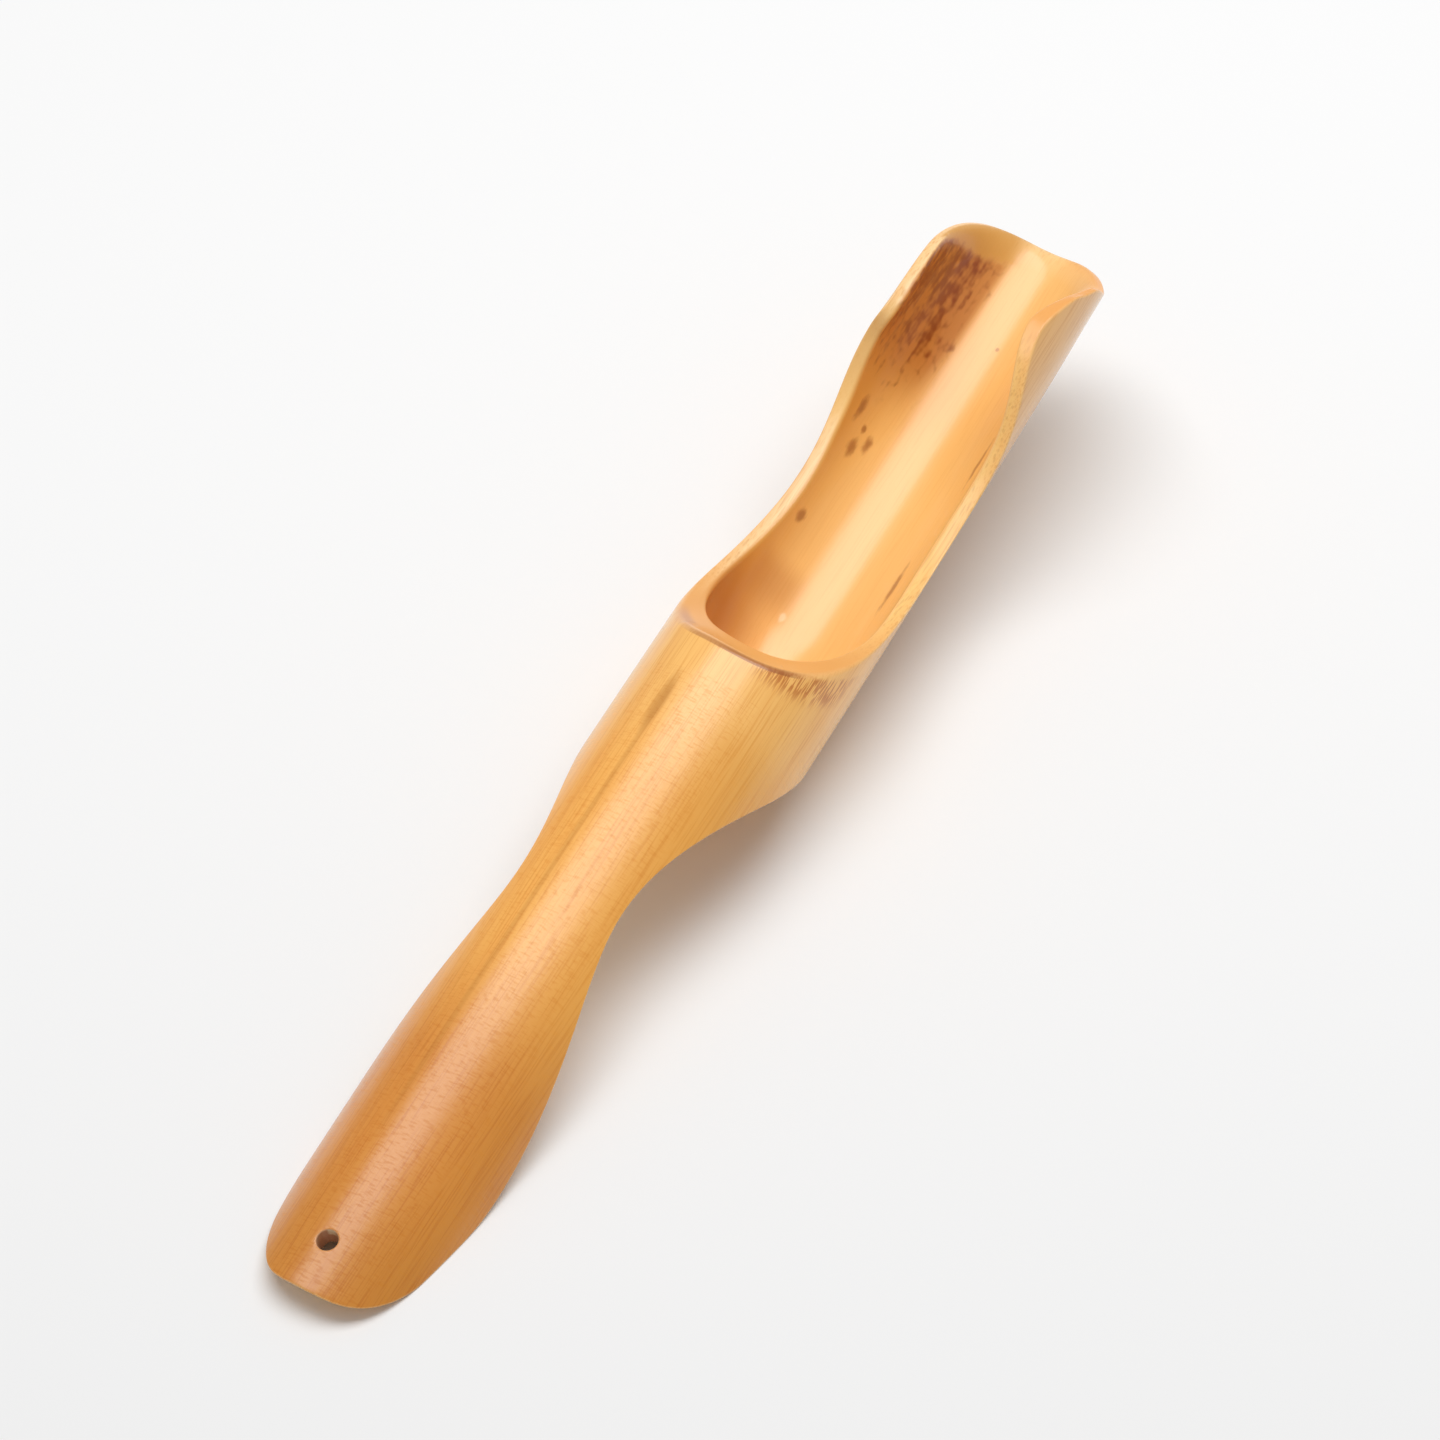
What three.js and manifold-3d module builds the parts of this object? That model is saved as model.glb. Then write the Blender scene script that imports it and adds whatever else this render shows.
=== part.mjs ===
// Bamboo tea scoop: one stretch of culm with a single node, carved from the side.
// Ahead of the node the top of the culm is cut away and leaves an open trough. Behind the node the
// underside is cut away and leaves an arched handle with a waist, a broad grip and a hanging hole.
// Millimetres, +Z up. In the culm's own frame its axis is X, the node is at 0 and the mouth is at +X.
// The finished part lies on a table, on the two edges of its grip and on its belly below the node.
import * as THREE from "three";
import { mergeVertices } from "three/addons/utils/BufferGeometryUtils.js";
import Module from "manifold-3d";

// Culm
const NODE_RADIUS = 13.5;
const MOUTH_RADIUS = 12.2;
const TIP_RADIUS = 12.8;
const TROUGH_LENGTH = 93.6;
const HANDLE_LENGTH = 103.4;
const TROUGH_WALL = 2;
const HANDLE_WALL = 3.5;

// Node: a ring of thick wall with the septum grown across it, and the reach over which the wall thins
const NODE_WALL = 5.6;
const NODE_REACH = 17.5;
const NODE_AHEAD = 2.5;
const NODE_BEHIND = 4;
const SEPTUM_THICKNESS = 2.5;
const SEPTUM_DISH = 0.8;
const GROWTH_SEAM = 0.3;

// Window over the trough, in side view
const CREST_AT = 0.7;
const RAMP_ANGLE = 60;
const RAMP_EASE = 12.5;
const LOW_AT = 37.3;
const LOW_HEIGHT = 8.8;
const LOW_EASE_BACK = 13.3;
const LOW_EASE_FRONT = 19.6;
const SHOULDER_INSET = 23.3;
const SHOULDER_DROP = 5.9;
const SHOULDER_EASE = 12.3;
const NOSE_ANGLE = 11.5;
const NOSE_EASE = 8.8;
const LIP_EASE = 6.4;

// Undercut below the handle, in side view
const BELLY_AT = 1.5;
const BELLY_ANGLE = 62;
const BELLY_EASE = 10.4;
const WAIST_AT = 39;
const WAIST_DEPTH = 2.45;
const WAIST_EASE_FRONT = 22.8;
const WAIST_EASE_BACK = 15.6;
const GRIP_INSET = 13.4;
const GRIP_DEPTH = 7;
const GRIP_FLAT = 8;
const GRIP_EASE = 14.8;
const HEEL_EASE = 4;
const TIP_EASE = 1.8;

// Hanging hole
const HOLE_DIAMETER = 2.8;
const HOLE_INSET = 7;
const HOLE_ASIDE = 0.6;

// Faceting, and how far a cutter reaches past the culm
const AROUND = 74;
const STEPS_ALONG = 12;
const STEP_GROWTH = 1.6;
const CURVE_STEPS = 14;
const SEPTUM_RINGS = 6;
const HOLE_SIDES = 24;
const MERGE_WITHIN = 1e-4;
const CUT_OVER = 6;

const wasm = await Module();
wasm.setup();

// Outer radius of the culm, which swells gently towards its node
function culmRadius(x) {
  const end = x > 0 ? MOUTH_RADIUS : TIP_RADIUS;
  const reach = x > 0 ? TROUGH_LENGTH : HANDLE_LENGTH;
  return NODE_RADIUS - (NODE_RADIUS - end) * (x / reach) ** 2;
}

// Closed geometry to a solid that can be cut
function toSolid(geometry) {
  geometry.deleteAttribute("normal");
  geometry.deleteAttribute("uv");
  const merged = mergeVertices(geometry, MERGE_WITHIN);
  const vertProperties = new Float32Array(merged.attributes.position.array);
  const triVerts = new Uint32Array(merged.index.array);
  return new wasm.Manifold(new wasm.Mesh({ numProp: 3, vertProperties, triVerts }));
}

// Cut solid back to a geometry
function toGeometry(solid) {
  const mesh = solid.getMesh();
  const geometry = new THREE.BufferGeometry();
  geometry.setAttribute("position", new THREE.BufferAttribute(mesh.vertProperties.slice(), 3));
  geometry.setIndex(new THREE.BufferAttribute(mesh.triVerts.slice(), 1));
  geometry.computeVertexNormals();
  return geometry;
}

// Lathe about the culm's axis of a profile in radius and station, with a facet along the crest and the belly
function lathe(profile) {
  const halfFacet = Math.PI / AROUND;
  return new THREE.LatheGeometry(profile, AROUND, halfFacet).rotateZ(-Math.PI / 2);
}

// Length of culm wall from the node out to an end. The cavity closes in to the node's bore as the wall
// thickens towards the node, and the stations lie closest together there.
function culmWall(nodeFace, end, wall) {
  const stations = Array.from({ length: STEPS_ALONG + 1 }, (_, i) => {
    return nodeFace + (end - nodeFace) * (i / STEPS_ALONG) ** STEP_GROWTH;
  });
  const outside = stations.map((x) => new THREE.Vector2(culmRadius(x), x));
  const inside = stations.map((x) => {
    const nearness = Math.max(0, 1 - Math.abs(x - nodeFace) / NODE_REACH);
    return new THREE.Vector2(culmRadius(x) - wall - (NODE_WALL - wall) * nearness ** 2, x);
  });
  const ring = [...outside, ...inside.reverse(), outside[0]];
  return toSolid(lathe(end > nodeFace ? ring : ring.reverse()));
}

// Prism across the culm below or above a side-view outline
function crossCut(outline) {
  const across = 2 * (NODE_RADIUS + CUT_OVER);
  const geometry = new THREE.ExtrudeGeometry(outline, {
    depth: across,
    curveSegments: CURVE_STEPS,
    bevelEnabled: false,
  });
  return toSolid(geometry.translate(0, 0, -across / 2).rotateX(Math.PI / 2));
}

// Side-view points that both cuts are drawn through
const rampAngle = THREE.MathUtils.degToRad(RAMP_ANGLE);
const noseAngle = THREE.MathUtils.degToRad(NOSE_ANGLE);
const bellyAngle = THREE.MathUtils.degToRad(BELLY_ANGLE);
const crest = new THREE.Vector2(CREST_AT, culmRadius(CREST_AT));
const low = new THREE.Vector2(LOW_AT, LOW_HEIGHT - culmRadius(LOW_AT));
const shoulderAt = TROUGH_LENGTH - SHOULDER_INSET;
const shoulder = new THREE.Vector2(shoulderAt, culmRadius(shoulderAt) - SHOULDER_DROP);
const lip = new THREE.Vector2(TROUGH_LENGTH, -MOUTH_RADIUS);
const belly = new THREE.Vector2(BELLY_AT, -culmRadius(BELLY_AT));
const waist = new THREE.Vector2(-WAIST_AT, culmRadius(-WAIST_AT) - WAIST_DEPTH);
const gripAt = GRIP_INSET - HANDLE_LENGTH;
const grip = new THREE.Vector2(gripAt, culmRadius(gripAt) - GRIP_DEPTH);
const tip = new THREE.Vector2(-HANDLE_LENGTH, TIP_RADIUS);

// The table touches the belly and runs along the grip's flat edges, so their line sets the tilt at rest
const restTilt = Math.atan2(grip.y - belly.y, belly.x - grip.x);
const alongRest = new THREE.Vector2(-Math.cos(restTilt), Math.sin(restTilt));
const flatFront = grip.clone().addScaledVector(alongRest, -GRIP_FLAT / 2);
const flatBack = grip.clone().addScaledVector(alongRest, GRIP_FLAT / 2);

// Everything above the trough's rim: a ramp down from the crest, a low middle, a shoulder and a round nose
function windowOutline() {
  const outline = new THREE.Shape();
  const rampRun = Math.cos(rampAngle);
  const rampFall = Math.sin(rampAngle);
  const above = NODE_RADIUS + CUT_OVER;
  const ahead = TROUGH_LENGTH + CUT_OVER;
  outline.moveTo(crest.x - ((above - crest.y) * rampRun) / rampFall, above);
  outline.lineTo(crest.x, crest.y);
  outline.bezierCurveTo(
    crest.x + RAMP_EASE * rampRun, crest.y - RAMP_EASE * rampFall,
    low.x - LOW_EASE_BACK, low.y,
    low.x, low.y,
  );
  outline.bezierCurveTo(
    low.x + LOW_EASE_FRONT, low.y,
    shoulder.x - SHOULDER_EASE, shoulder.y,
    shoulder.x, shoulder.y,
  );
  outline.bezierCurveTo(
    shoulder.x + NOSE_EASE * Math.cos(noseAngle), shoulder.y - NOSE_EASE * Math.sin(noseAngle),
    lip.x, lip.y + LIP_EASE,
    lip.x, lip.y,
  );
  outline.lineTo(lip.x, -above);
  outline.lineTo(ahead, -above);
  outline.lineTo(ahead, above);
  return outline;
}

// Everything below the handle's edge: up from the belly, over the waist, down to the grip, round the tip
function undercutOutline() {
  const outline = new THREE.Shape();
  const slopeRun = Math.cos(bellyAngle);
  const slopeRise = Math.sin(bellyAngle);
  const beyond = NODE_RADIUS + CUT_OVER;
  const behind = -HANDLE_LENGTH - CUT_OVER;
  outline.moveTo(belly.x + ((belly.y + beyond) * slopeRun) / slopeRise, -beyond);
  outline.lineTo(belly.x, belly.y);
  outline.bezierCurveTo(
    belly.x - BELLY_EASE * slopeRun, belly.y + BELLY_EASE * slopeRise,
    waist.x + WAIST_EASE_FRONT, waist.y,
    waist.x, waist.y,
  );
  outline.bezierCurveTo(
    waist.x - WAIST_EASE_BACK, waist.y,
    flatFront.x - alongRest.x * GRIP_EASE, flatFront.y - alongRest.y * GRIP_EASE,
    flatFront.x, flatFront.y,
  );
  outline.lineTo(flatBack.x, flatBack.y);
  outline.bezierCurveTo(
    flatBack.x + alongRest.x * HEEL_EASE, flatBack.y + alongRest.y * HEEL_EASE,
    tip.x, tip.y - TIP_EASE,
    tip.x, tip.y,
  );
  outline.lineTo(tip.x, beyond);
  outline.lineTo(behind, beyond);
  outline.lineTo(behind, -beyond);
  return outline;
}

const windowCut = crossCut(windowOutline());
const undercut = crossCut(undercutOutline());

// Open trough, with its floor and walls running out to a round lip
function scoopTrough() {
  return culmWall(NODE_AHEAD + GROWTH_SEAM, TROUGH_LENGTH, TROUGH_WALL).subtract(windowCut);
}

// Ring of thick wall at the node, cut by the ramp above and by the undercut below
function nodeRing() {
  const back = new THREE.Vector2(culmRadius(-NODE_BEHIND), -NODE_BEHIND);
  const middle = new THREE.Vector2(NODE_RADIUS, 0);
  const front = new THREE.Vector2(culmRadius(NODE_AHEAD), NODE_AHEAD);
  const bore = NODE_RADIUS - NODE_WALL;
  const boreFront = new THREE.Vector2(bore, NODE_AHEAD);
  const boreBack = new THREE.Vector2(bore, -NODE_BEHIND);
  return toSolid(lathe([back, middle, front, boreFront, boreBack, back])).subtract(windowCut).subtract(undercut);
}

// Septum that closes the back of the trough, dished on its trough side
function nodeSeptum() {
  const radius = NODE_RADIUS - NODE_WALL - GROWTH_SEAM;
  const back = NODE_AHEAD - SEPTUM_THICKNESS;
  const dish = Array.from({ length: SEPTUM_RINGS + 1 }, (_, i) => {
    const share = 1 - i / SEPTUM_RINGS;
    return new THREE.Vector2(radius * share, NODE_AHEAD - SEPTUM_DISH * (1 - share ** 2));
  });
  return toSolid(lathe([new THREE.Vector2(0, back), new THREE.Vector2(radius, back), ...dish]));
}

// Arched handle, with the hanging hole drilled down through its crest near the tip
function handleArch() {
  const depth = 2 * (HANDLE_WALL + CUT_OVER);
  const hole = new THREE.CylinderGeometry(HOLE_DIAMETER / 2, HOLE_DIAMETER / 2, depth, HOLE_SIDES);
  hole.rotateX(Math.PI / 2).translate(HOLE_INSET - HANDLE_LENGTH, HOLE_ASIDE, TIP_RADIUS);
  return culmWall(-NODE_BEHIND - GROWTH_SEAM, -HANDLE_LENGTH, HANDLE_WALL)
    .subtract(undercut)
    .subtract(toSolid(hole));
}

function bamboo(name, solid, color, roughness) {
  const material = new THREE.MeshStandardMaterial({ color, roughness, metalness: 0 });
  const mesh = new THREE.Mesh(toGeometry(solid), material);
  mesh.name = name;
  return mesh;
}

// The culm tilts about Y until its belly and its grip lie on the table, with the mouth raised
const culm = new THREE.Group();
culm.rotation.y = -restTilt;
culm.add(
  bamboo("scoop_trough", scoopTrough(), "#eeb066", 0.3),
  bamboo("node_ring", nodeRing(), "#e0a458", 0.35),
  bamboo("node_septum", nodeSeptum(), "#d9a05a", 0.5),
  bamboo("handle_arch", handleArch(), "#d0934a", 0.35),
);

// Origin on the table, below the middle of the part
const scoop = new THREE.Group();
scoop.add(culm);
const extent = new THREE.Box3().setFromObject(scoop, true);
const centre = extent.getCenter(new THREE.Vector3());
culm.position.set(-centre.x, -centre.y, -extent.min.z);

export default scoop;
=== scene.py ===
"""A bamboo tea scoop lying on a pale table: an open trough, the node that closes it and an arched handle."""
import math

import bmesh
import bpy
import numpy as np
from mathutils import Matrix, Quaternion, Vector


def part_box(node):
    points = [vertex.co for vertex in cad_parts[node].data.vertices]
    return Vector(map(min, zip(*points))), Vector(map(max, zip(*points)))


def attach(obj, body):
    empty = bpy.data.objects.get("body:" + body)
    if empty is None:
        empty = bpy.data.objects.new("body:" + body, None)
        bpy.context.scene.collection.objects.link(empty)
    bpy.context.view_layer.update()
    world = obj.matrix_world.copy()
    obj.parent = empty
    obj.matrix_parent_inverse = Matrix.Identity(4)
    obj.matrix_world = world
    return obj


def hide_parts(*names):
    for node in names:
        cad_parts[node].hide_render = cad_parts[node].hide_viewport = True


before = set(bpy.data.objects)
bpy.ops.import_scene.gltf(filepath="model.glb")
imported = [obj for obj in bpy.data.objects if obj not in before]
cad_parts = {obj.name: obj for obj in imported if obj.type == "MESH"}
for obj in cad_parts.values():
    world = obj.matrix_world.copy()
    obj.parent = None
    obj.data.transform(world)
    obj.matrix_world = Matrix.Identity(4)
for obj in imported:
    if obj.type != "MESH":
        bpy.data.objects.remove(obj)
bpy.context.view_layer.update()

# The trough is the internode ahead of the node: carbonised bamboo, 2 mm thick, under a clear gloss lacquer.
# It is one length of culm with the rest, sawn open from above, and its rim and lip are sanded round by hand.
# Sizes are in millimetres in the culm's own frame: X from the node to the mouth, Y to the left, Z up.
MILLIMETRE = 0.001
NODE_RADIUS = 13.5
MOUTH_RADIUS = 12.2
TIP_RADIUS = 12.8
TROUGH_LENGTH = 93.6
HANDLE_LENGTH = 103.4
TROUGH_WALL = 2.0
HANDLE_WALL = 3.5
NODE_WALL = 5.6
NODE_REACH = 17.5
NODE_AHEAD = 2.65
NODE_BEHIND = 4.15

CREST_AT = 0.7
RAMP_ANGLE = 60
RAMP_EASE = 12.5
LOW_AT = 37.3
LOW_HEIGHT = 8.8
LOW_EASE_BACK = 13.3
LOW_EASE_FRONT = 19.6
SHOULDER_AT = 70.3
SHOULDER_DROP = 5.9
SHOULDER_EASE = 12.3
NOSE_ANGLE = 11.5
NOSE_EASE = 8.8
LIP_EASE = 6.4
BELLY_AT = 1.5
GRIP_AT = -90.0
GRIP_DEPTH = 7.0

EDGE_ROUND = 0.5
OUTER_ROUND, BACK_ROUND = 0.3, 0.9
BACK_ROUND_ENDS = (6.0, 18.0)
LIP_THINS = (72.0, 84.0)
LIP_REACH = 4.5
LIP_BEVEL = 1.2
LIP_CORNER_AT = 87.5

# The carver's hand left the rim uneven. Each mark has its size, in millimetres along the culm or in degrees
# about it, and the stretches of the culm over which it comes and goes.
CORNER_BACK, CORNER_RISE = 3.4, (70.0, 84.0)
CORNER_TOP = 97
LEFT_BACK, LEFT_RISE, LEFT_FALL = 4.6, (58.5, 70.0), (70.0, 81.0)
RIGHT_AHEAD, RIGHT_DIP = 3.0, 4.5
RIGHT_RISE, RIGHT_FALL = (68.5, 73.5), (73.5, 83.0)
SHOULDER_LOW, SHOULDER_HIGH = 0.1, 0.45
RAMP_AHEAD, RAMP_RISE, RAMP_FALL = 0.8, (-3.5, 0.5), (6.0, 30.0)
RAMP_ACROSS = (-7.0, 4.0)
LEFT_LIFT, LIFT_RISE, LIFT_FALL = 1.8, (3.0, 10.0), (28.0, 46.0)
LEFT_DIP, DIP_RISE, DIP_FALL = 6.0, (46.0, 58.0), (70.0, 77.5)

# The surfaces are grids: how finely each is divided, and how the lines of the grid lie.
RIM_SETTLE = 10.0
SEAM_SWEEP = 4
ROUND_STEPS = 6
FACE_STEPS = 8
CREST_STEPS = 16
FLOOR_STEPS = 56
RIM_STEPS = 150
CURVE_POINTS = 1500
EDGE_POINTS = 6000
WELD_WITHIN = 0.002
SHARP_ANGLE = 30


def culm_radius(x):
    """Outer radius: the node's, less a share of the taper that grows with the square of the way to an end."""
    end = np.where(x > 0, MOUTH_RADIUS, TIP_RADIUS)
    reach = np.where(x > 0, TROUGH_LENGTH, HANDLE_LENGTH)
    return NODE_RADIUS - (NODE_RADIUS - end) * (x / reach) ** 2


def bore_radius(x):
    """Inner radius: the outer less the wall, which swells to the node's by the square of nearness to it."""
    thin = np.where(x > 0, TROUGH_WALL, HANDLE_WALL)
    away = np.maximum(0, np.maximum(x - NODE_AHEAD, -NODE_BEHIND - x))
    near = np.maximum(0, 1 - away / NODE_REACH)
    return culm_radius(x) - thin - (NODE_WALL - thin) * near**2


def heading(degrees):
    """Unit step in the side view at an angle above the culm's axis."""
    return np.array([math.cos(math.radians(degrees)), math.sin(math.radians(degrees))])


def bezier(start, leave, arrive, end):
    """Cubic curve in the side view: four points weighed by the powers of the share run and the share left."""
    run = np.linspace(0, 1, CURVE_POINTS)[:, None]
    left = 1 - run
    return left**3 * start + 3 * left**2 * run * leave + 3 * left * run**2 * arrive + run**3 * end


def saw_cut(*curves):
    """Curves end to end as one cut: at each point the length run along it, x and z."""
    line = np.concatenate(curves)
    step = np.hypot(*np.diff(line, axis=0).T)
    run = np.concatenate([[0], np.cumsum(step)])
    return np.column_stack([run, line])


def cut_at(cut, run):
    """X and z of a cut at lengths run along it."""
    return np.interp(run, cut[:, 0], cut[:, 1]), np.interp(run, cut[:, 0], cut[:, 2])


def crossings(cut):
    """Lengths along a cut at which it passes through the top or bottom line of the bore."""
    room = bore_radius(cut[:, 1]) ** 2 - cut[:, 2] ** 2
    at = np.flatnonzero(np.diff(np.sign(room)))
    share = room[at] / (room[at] - room[at + 1])
    return cut[at, 0] + share * (cut[at + 1, 0] - cut[at, 0])


def half_width(radius, x, z):
    """Distance off the mid-plane where a cut leaves a round wall: the root of the radius squared less the
    height squared, and nothing at the line's two ends."""
    off = np.sqrt(np.maximum(radius(x) ** 2 - z**2, 0))
    off[[0, -1]] = 0
    return off


def edge_line(cut, radius, first, last):
    """Line where a cut leaves a round wall, from mid-plane to mid-plane, with points closer at its ends: its
    own length, the run along the cut and the distance off the mid-plane."""
    run = first + (last - first) * (1 - np.cos(np.linspace(0, np.pi, EDGE_POINTS))) / 2
    off = half_width(radius, *cut_at(cut, run))
    length = np.concatenate([[0], np.cumsum(np.hypot(np.diff(run), np.diff(off)))])
    return length, run, off


def spaced(stops, counts):
    """Values from stop to stop, each stretch divided evenly into its count."""
    stretches = [np.linspace(a, b, n, endpoint=False) for a, b, n in zip(stops, stops[1:], counts)]
    return np.concatenate(stretches + [stops[-1:]])


def directions(along, across, scale):
    """Unit direction at each point of a line that crosses the mid-plane squarely at both its ends."""
    along = np.gradient(np.concatenate([along[1:2], along, along[-2:-1]]))[1:-1]
    before, after = 2 * across[:1] - across[1:2], 2 * across[-1:] - across[-2:-1]
    across = np.gradient(np.concatenate([before, across, after]))[1:-1] * scale
    size = np.hypot(along, across)
    return along / size, across / size


def on_wall(radius, x, angle):
    """Point on a round wall, at an angle turned from the underside."""
    size = radius(x)
    return np.stack([x, size * np.sin(angle), -size * np.cos(angle)], -1)


def on_face(cut, run, off):
    """Point on the face that a cut leaves, which is level from side to side."""
    x, z = cut_at(cut, run)
    return np.stack([x, off, z], -1)


def bent(start, over, end):
    """Quadratic curves from one line over another to a third: their points weighed by the square of the share
    left, twice the share left times the share run, and the square of the share run."""
    run = np.linspace(0, 1, ROUND_STEPS + 1)[:, None, None]
    left = 1 - run
    return left**2 * start + 2 * run * left * over + run**2 * end


def rounded(cut, radius, run, off, wall_reach, face_reach, side):
    """Sanded edge: curves bent from the wall, over the sharp edge, to the cut face, their reach away on each.
    Gives the line on the wall as x and angle, the line on the face as run and off, and the curves' points."""
    x, z = cut_at(cut, run)
    angle = np.arctan2(off, -z)
    size = radius(x)
    wall_along, wall_across = directions(x, angle, size)
    face_along, face_across = directions(run, off, 1)
    wall = np.stack([x + wall_reach * wall_across, angle - wall_reach * wall_along / size])
    face = np.stack([run + side * face_reach * face_across, off - side * face_reach * face_along])
    points = bent(on_wall(radius, *wall), on_face(cut, run, off), on_face(cut, *face))
    return wall, face, points


def between(first, last, steps):
    """Grid of values that runs evenly from one line to another."""
    share = np.linspace(0, 1, steps + 1)[:, None]
    return first[:, None, :] * (1 - share) + last[:, None, :] * share


def tongue(root, side, end):
    """Wall between a root line, a side line and an end line, each x and angle from the middle line: the blend
    of the middle with the side, plus that of the root with the end, less that of the four corners."""
    run = ((side[0] - side[0, 0]) / (side[0, -1] - side[0, 0]))[:, None]
    across = np.linspace(0, 1, root.shape[1])
    middle = np.stack([root[0, 0] + (end[0, 0] - root[0, 0]) * run, np.zeros_like(run)])
    lengthwise = (1 - across) * middle + across * side[:, :, None]
    crosswise = (1 - run) * root[:, None, :] + run * end[:, None, :]
    near = (1 - across) * root[:, :1] + across * root[:, -1:]
    far = (1 - across) * end[:, :1] + across * end[:, -1:]
    return lengthwise + crosswise - (1 - run) * near[:, None, :] - run * far[:, None, :]


def seam_cap(outer, inner, side):
    """Wall's section at a growth seam: the blend of its middle with the sanded rim at its side, plus how far
    its outer and inner lines bow out from straight ones."""
    down = np.linspace(0, 1, len(side))[:, None, None]
    across = np.linspace(0, 1, len(outer))[:, None]
    outer_bow = outer - (1 - across) * outer[0] - across * outer[-1]
    inner_bow = inner - (1 - across) * inner[0] - across * inner[-1]
    middle = outer[0] + (inner[0] - outer[0]) * down
    straight = (1 - across) * middle + across * side[:, None, :]
    return straight + (1 - down) * outer_bow + down * inner_bow


def smooth_share(value, start, end):
    """Share of the way from start to end, held at 0 and 1 outside and eased at both ends."""
    share = np.clip((value - start) / (end - start), 0, 1)
    return share**2 * (3 - 2 * share)


def hump(value, rise, fall):
    """Share that eases up from 0 to 1 over its rise and back to 0 over its fall."""
    return smooth_share(value, *rise) * (1 - smooth_share(value, *fall))


def carved_by_hand(grid):
    """Rim left uneven by its carver, as slides along the culm. High on the wall, by the sine of its angle
    above the axis, the left shoulder slides back, the right one's outer edge ahead and the left of the ramp
    ahead. The lip's right corner is set back by a hump over the share of its height: four times the share
    times the rest, to the power one and a half. Then the rim turns about the axis: on the left its outer edge
    up along one stretch and its inner edge down along another, and on the right the shoulder's outer edge
    down."""
    x, y, z = np.moveaxis(grid, -1, 0)
    size = np.hypot(y, z)
    sine = z / size
    outer = np.clip((size - bore_radius(x)) / (culm_radius(x) - bore_radius(x)), 0, 1)
    high = smooth_share(sine, SHOULDER_LOW, SHOULDER_HIGH)
    left_shoulder = hump(x, LEFT_RISE, LEFT_FALL) * high
    right_shoulder = hump(x, RIGHT_RISE, RIGHT_FALL) * high * outer
    up = np.clip((1 + sine) / (1 - math.cos(math.radians(CORNER_TOP))), 0, 1)
    corner = (4 * up * (1 - up)) ** 1.5 * smooth_share(x, *CORNER_RISE)
    slide = np.where(y > 0, -LEFT_BACK * left_shoulder, RIGHT_AHEAD * right_shoulder - CORNER_BACK * corner)
    ramp = hump(x, RAMP_RISE, RAMP_FALL) * smooth_share(y, *RAMP_ACROSS)
    slide += RAMP_AHEAD * ramp * smooth_share(sine, -SHOULDER_HIGH, SHOULDER_HIGH)
    lift = LEFT_LIFT * hump(x, LIFT_RISE, LIFT_FALL) * outer
    dip = LEFT_DIP * hump(x, DIP_RISE, DIP_FALL) * (1 - outer)
    left_turn = (lift - dip) * smooth_share(sine, -1, -SHOULDER_LOW)
    turn = np.arctan2(y, -z) + np.radians(np.where(y > 0, left_turn, RIGHT_DIP * right_shoulder))
    return np.stack([x + slide, size * np.sin(turn), -size * np.cos(turn)], -1)


def mirrored(patches):
    """Patches with their images on the mid-plane's other side."""
    return patches + [(grid * (1, -1, 1), share) for grid, share in patches]


def add_grids(made, patches):
    """Adds patches, each a grid of points and its rows' shares of cut face, to a mesh in the making and welds
    them. Two marks stay on the points: the share of cut face, and the depth in the wall, 0 outside and 1
    inside."""
    sizes = [grid.shape[0] * grid.shape[1] for grid, share in patches]
    firsts = np.concatenate([[0], np.cumsum(sizes)])
    faces = []
    for (grid, share), first, size in zip(patches, firsts, sizes):
        index = first + np.arange(size).reshape(grid.shape[:2])
        corners = index[:-1, :-1], index[1:, :-1], index[1:, 1:], index[:-1, 1:]
        faces.append(np.stack(corners, -1).reshape(-1, 4))
    points = np.concatenate([grid.reshape(-1, 3) for grid, share in patches])
    cut = np.concatenate([np.repeat(share, grid.shape[1]) for grid, share in patches])
    outer, inner = culm_radius(points[:, 0]), bore_radius(points[:, 0])
    depth = (outer - np.hypot(points[:, 1], points[:, 2])) / (outer - inner)
    mesh = bpy.data.meshes.new("patches")
    mesh.from_pydata(points, [], np.concatenate(faces))
    mesh.attributes.new("cut", "FLOAT", "POINT").data.foreach_set("value", cut)
    mesh.attributes.new("depth", "FLOAT", "POINT").data.foreach_set("value", np.clip(depth, 0, 1))
    made.from_mesh(mesh)
    bpy.data.meshes.remove(mesh)
    bmesh.ops.remove_doubles(made, verts=made.verts, dist=WELD_WITHIN)


def make_piece(name, made, material):
    """Smooth-shaded object, laid in the frame and fixed to the scoop's one body."""
    bmesh.ops.recalc_face_normals(made, faces=made.faces)
    made.transform(culm_to_frame)
    mesh = bpy.data.meshes.new(name)
    made.to_mesh(mesh)
    made.free()
    mesh.shade_smooth()
    mesh.set_sharp_from_angle(angle=math.radians(SHARP_ANGLE))
    mesh.materials.append(material)
    piece = bpy.data.objects.new(name, mesh)
    bpy.context.scene.collection.objects.link(piece)
    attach(piece, "root")
    return piece


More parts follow.
